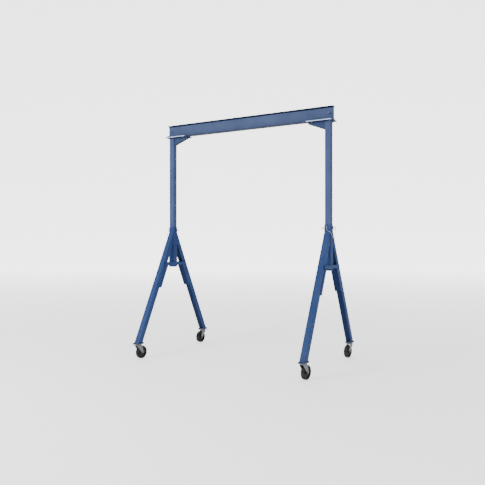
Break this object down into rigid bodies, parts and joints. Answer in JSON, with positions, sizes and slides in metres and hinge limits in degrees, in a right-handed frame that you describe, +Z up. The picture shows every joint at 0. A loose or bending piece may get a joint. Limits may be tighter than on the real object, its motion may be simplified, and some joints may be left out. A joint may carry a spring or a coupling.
{
  "type": "portable gantry crane",
  "caption": "Rolling gantry crane: I-beam on telescoping square posts held by drop pins in A-frames on swivel casters.",
  "frame": {"origin": "on the floor, midway between the four feet", "axes": "X along the beam, Y along the feet of an A-frame, Z up"},
  "size_m": [3.1056, 1.9972, 3.8862],
  "materials": {
    "blue_paint": "semi-gloss blue enamel",
    "zinc_plate": "zinc plated",
    "bare_steel": "turned",
    "black_casting": "black painted casting",
    "black_rubber": "matt moulded",
    "bearing_steel": "polished"
  },
  "bodies": {
    "base": {"left_sleeve": "blue_paint", "left_tie_plates": "blue_paint", "left_pin_chain": "zinc_plate", "left_front_leg": "blue_paint", "left_front_stiffener": "blue_paint", "left_front_foot_plate": "blue_paint", "left_front_caster_plate": "zinc_plate", "left_rear_leg": "blue_paint", "left_rear_stiffener": "blue_paint", "left_rear_foot_plate": "blue_paint", "left_rear_caster_plate": "zinc_plate", "right_sleeve": "blue_paint", "right_tie_plates": "blue_paint", "right_pin_chain": "zinc_plate", "right_front_leg": "blue_paint", "right_front_stiffener": "blue_paint", "right_front_foot_plate": "blue_paint", "right_front_caster_plate": "zinc_plate", "right_rear_leg": "blue_paint", "right_rear_stiffener": "blue_paint", "right_rear_foot_plate": "blue_paint", "right_rear_caster_plate": "zinc_plate", "chain_staples": "zinc_plate", "caster_bolts": "zinc_plate", "caster_nuts": "zinc_plate", "kingpins": "bare_steel", "kingpin_nuts": "zinc_plate", "swivel_balls": "bearing_steel"},
    "upper": {"beam": "blue_paint", "left_post": "blue_paint", "left_head_plate": "blue_paint", "left_knee_brace": "blue_paint", "left_beam_clips": "zinc_plate", "right_post": "blue_paint", "right_head_plate": "blue_paint", "right_knee_brace": "blue_paint", "right_beam_clips": "zinc_plate", "clip_bolts": "zinc_plate", "clip_nuts": "zinc_plate", "stop_bolts": "zinc_plate", "stop_nuts": "zinc_plate"},
    "left_pin": {"left_drop_pin": "zinc_plate"},
    "left_front_caster": {"left_front_fork": "zinc_plate", "left_front_axle": "zinc_plate"},
    "left_front_roller": {"left_front_wheel": "black_casting", "left_front_tyre": "black_rubber"},
    "left_rear_caster": {"left_rear_fork": "zinc_plate", "left_rear_axle": "zinc_plate"},
    "left_rear_roller": {"left_rear_wheel": "black_casting", "left_rear_tyre": "black_rubber"},
    "right_pin": {"right_drop_pin": "zinc_plate"},
    "right_front_caster": {"right_front_fork": "zinc_plate", "right_front_axle": "zinc_plate"},
    "right_front_roller": {"right_front_wheel": "black_casting", "right_front_tyre": "black_rubber"},
    "right_rear_caster": {"right_rear_fork": "zinc_plate", "right_rear_axle": "zinc_plate"},
    "right_rear_roller": {"right_rear_wheel": "black_casting", "right_rear_tyre": "black_rubber"}
  },
  "joints": [
    {"name": "lift", "type": "slide", "parent": "base", "child": "upper", "axis": [0, 0, 1], "range_m": [-1.3716, 0.4572]},
    {"name": "left_pin_pull", "type": "slide", "parent": "base", "child": "left_pin", "axis": [-1, 0, 0], "range_m": [-0.012, 0.165]},
    {"name": "left_front_swivel", "type": "hinge", "parent": "base", "child": "left_front_caster", "pos_m": [-1.44, -0.91613, 0.2285], "axis": [0, 0, 1], "continuous": true},
    {"name": "left_front_roll", "type": "hinge", "parent": "left_front_caster", "child": "left_front_roller", "pos_m": [-1.43244, -0.85459, 0.1016], "axis": [-0.9925, 0.1219, 0], "continuous": true},
    {"name": "left_rear_swivel", "type": "hinge", "parent": "base", "child": "left_rear_caster", "pos_m": [-1.44, 0.91613, 0.2285], "axis": [0, 0, 1], "continuous": true},
    {"name": "left_rear_roll", "type": "hinge", "parent": "left_rear_caster", "child": "left_rear_roller", "pos_m": [-1.44756, 0.85459, 0.1016], "axis": [0.9925, -0.1219, 0], "continuous": true},
    {"name": "right_pin_pull", "type": "slide", "parent": "base", "child": "right_pin", "axis": [1, 0, 0], "range_m": [-0.012, 0.165]},
    {"name": "right_front_swivel", "type": "hinge", "parent": "base", "child": "right_front_caster", "pos_m": [1.44, -0.91613, 0.2285], "axis": [0, 0, 1], "continuous": true},
    {"name": "right_front_roll", "type": "hinge", "parent": "right_front_caster", "child": "right_front_roller", "pos_m": [1.44756, -0.85459, 0.1016], "axis": [-0.9925, 0.1219, 0], "continuous": true},
    {"name": "right_rear_swivel", "type": "hinge", "parent": "base", "child": "right_rear_caster", "pos_m": [1.44, 0.91613, 0.2285], "axis": [0, 0, 1], "continuous": true},
    {"name": "right_rear_roll", "type": "hinge", "parent": "right_rear_caster", "child": "right_rear_roller", "pos_m": [1.43244, 0.85459, 0.1016], "axis": [0.9925, -0.1219, 0], "continuous": true}
  ]
}
